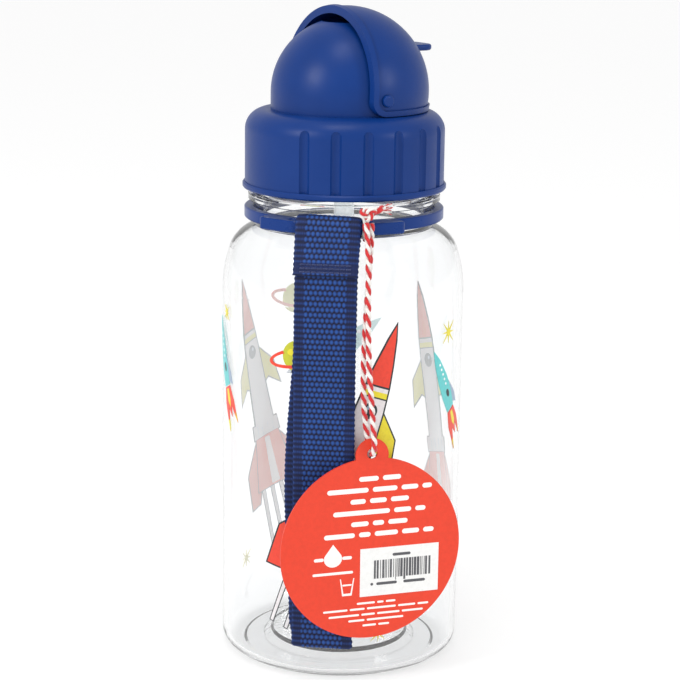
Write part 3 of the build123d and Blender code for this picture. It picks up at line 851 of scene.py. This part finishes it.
def motif(shapes, bearing, height, tilt=0.0, size=1.0, wide=1.0):
    """Lays shapes (ink, layer, outline width, points) on the bottle at a bearing in degrees."""
    c, s = cos(radians(tilt)), sin(radians(tilt))
    for colour, layer, line, points in shapes:
        flat = [((x * wide * c + y * s) * size, (-x * wide * s + y * c) * size)
                for x, y in points]
        middle = radians(bearing) * PRINT_OUT
        if line:
            bottle_print.add([(x + middle, y + height) for x, y in grown(flat, line)], "dark",
                             layer - 1)
        bottle_print.add([(x + middle, y + height) for x, y in flat], colour, layer)


def on_wall(x, y, lift, layer):
    """Place on the bottle's wall; x is the arc from the side that faces the camera."""
    out = PRINT_OUT + (INK + INK * layer if lift else -INK * layer)
    return (away(view_angle - pi / 2 + x / PRINT_OUT) * out + UP * y) * MM


bottle_print = Print("bottle_print", print_inks, on_wall, cut=2.0)

rocket_fin = [(3.2, -23.6), (8.6, -30.4), (9.7, -38.4), (5.6, -34.8), (3.6, -36.0)]
rocket_foot = [(4.6, -53.5), (11.8, -63.5), (12.1, -75.5), (8.3, -75.0), (5.6, -68.0)]
rocket = [("yellow", 2, 0.5, rocket_fin), ("yellow", 2, 0.5, mirrored(rocket_fin)),
          ("red", 2, 0.5, rocket_foot), ("red", 2, 0.5, mirrored(rocket_foot))]
for leg in (-5.6, -1.8, 1.8, 5.6):
    rocket.append(("pale", 2, 0.3, [(leg - 0.55, -70), (leg + 0.55, -70),
                                    (leg * 1.1 + 0.4, -91), (leg * 1.1 - 0.4, -91)]))
rocket += [
    ("pale", 4, 0.5, [(-2.9, -17), (2.9, -17), (3.4, -24), (4.0, -49), (-4.0, -49),
                       (-3.4, -24)]),
    ("red", 4, 0.5, [(0, 0), (0.9, -4), (2.1, -11), (2.9, -17), (-2.9, -17), (-2.1, -11),
                      (-0.9, -4)]),
    ("yellow", 5, 0, [(-3.0, -18.6), (3.0, -18.6), (3.15, -20.1), (-3.15, -20.1)]),
    ("dark", 5, 0, [(-2.9, -16.9), (2.9, -16.9), (2.93, -17.4), (-2.93, -17.4)]),
    ("dark", 5, 0, [(-3.13, -20.1), (3.13, -20.1), (3.16, -20.5), (-3.16, -20.5)]),
    ("dark", 5, 0, oval(0, -24.2, 1.9, 2.25)), ("slate", 6, 0, oval(-0.5, -23.4, 0.45, 0.6)),
    ("red", 4, 0.35, [(-5.0, -53.5), (5.0, -53.5), (8.0, -71), (-8.0, -71)]),
    ("white", 5, 0, [(-1.0, -54.2), (1.0, -54.2), (1.6, -70.4), (-1.6, -70.4)]),
    ("pale", 4, 0.35, [(-5.4, -48.8), (5.4, -48.8), (5.6, -53.3), (-5.6, -53.3)])]
for tick in (-3.4, -1.2, 1.2, 3.4):
    rocket.append(("slate", 5, 0, [(tick - 0.16, -49.2), (tick + 0.16, -49.2),
                                   (tick + 0.16, -53.0), (tick - 0.16, -53.0)]))
motif(rocket, 25.4, 108.1, 18.0, 1.08, 1.12)
motif(rocket, -116.2, 110.4, 14.5)
motif(rocket, 137.5, 108.3, 13.5)

shuttle = [("cyan", 2, 0, [(-2.1, 0), (2.1, 0), (2.6, 5), (2.4, 11), (1.3, 17.5), (0, 21.6),
                           (-1.3, 17.5), (-2.4, 11), (-2.6, 5)]),
           ("dark", 3, 0, oval(0.5, 5.6, 0.75, 1.35)),
           ("slate", 1, 0, [(2.3, 1.0), (4.3, -0.6), (4.4, 3.2), (2.6, 9.0)])]
shuttle += [("white", 3, 0, oval(0.7 - 0.03 * k, 9.0 + 1.75 * k, 0.38, 0.42, 12))
            for k in range(5)]
flame = [("red", 2, 0, [(-2.0, -0.3), (-3.4, -5.0), (-3.0, -13.5), (-1.3, -6.4), (0.1, -9.6),
                        (1.0, -6.0), (3.0, -12.0), (3.1, -5.0), (2.0, -0.3)]),
         ("yellow", 3, 0, [(-3.12, -10.2), (-3.0, -13.5), (-2.15, -10.0)]),
         ("yellow", 3, 0, [(2.5, -10.0), (3.0, -12.0), (3.04, -8.6)]),
         ("yellow", 3, 0, [(-0.6, -1.0), (-0.9, -4.6), (0.1, -6.6), (0.9, -4.4), (0.7, -1.0)])]
motif(shuttle + flame, 62.5, 79.4, -27.0)
motif(shuttle + flame, -69.0, 84.6, -24.0)
motif(shuttle, -158.0, 73.0, -50.0, 1.65)


def planet(colour):
    return [(colour, 2, 0, oval(0, 0, 4.7, 4.7, 32)),
            ("yellow" if colour == "green" else "white", 3, 0, oval(-1.6, 1.5, 1.3, 1.0, 16)),
            ("red", 4, 0, band(0, -0.4, 9.4, 3.0, 118, 422, 1.0))]


motif(planet("green"), -20.6, 98.8, -12.0)
motif(planet("green"), -154.8, 102.2, -14.0)
for bearing, height, reach in [(58.8, 103.2, 4.3), (-70.4, 106.9, 2.9), (-120.9, 19.4, 3.6),
                               (18.6, 14.6, 3.4), (96.0, 30.0, 4.0), (176.0, 66.0, 4.0)]:
    motif([("yellow", 2, 0, star(0, 0, reach))], bearing, height)
bottle_print.finish("bottle")


# ---------------------------------------------------------------- floor and light


FLOOR_HALF = 6.0
# name, turn from the camera's side in degrees, height, distance, width, power
LIGHTS = [("key", -52, 0.62, 0.95, 0.28, 4.2), ("fill", 62, 0.5, 1.1, 0.2, 2.4),
          ("top", -14, 1.15, 0.33, 0.32, 2.6)]


def studio():
    """Plain pale floor, a large soft key from the left, a fill and a top light."""
    paper = Paint("floor_paper", Base_Color=(0.42, 0.42, 0.42, 1), Roughness=0.9,
                  Emission_Color=(1, 1, 1, 1), Emission_Strength=0.6)
    half = FLOOR_HALF
    corners = [(-half, -half, 0), (half, -half, 0), (half, half, 0), (-half, half, 0)]
    floor = piece("floor", corners, [(0, 1, 2, 3)], [paper.material], smooth=False)
    world = bpy.data.worlds.new("studio")
    world.use_nodes = True
    background = world.node_tree.nodes["Background"]
    background.inputs["Color"].default_value = (1, 1, 1, 1)
    background.inputs["Strength"].default_value = 0.78
    bpy.context.scene.world = world
    aim = Vector((0, 0, 0.11))
    for name, turn, height, distance, width, power in LIGHTS:
        data = bpy.data.lights.new(name, "AREA")
        data.shape = "RECTANGLE"
        data.size = width
        data.size_y = width * 1.4
        data.energy = power
        light = bpy.data.objects.new(name, data)
        bearing = view_angle - pi / 2 + radians(turn)
        light.location = away(bearing) * distance + UP * height
        light.rotation_euler = (aim - light.location).to_track_quat("-Z", "Y").to_euler()
        bpy.context.collection.objects.link(light)


studio()
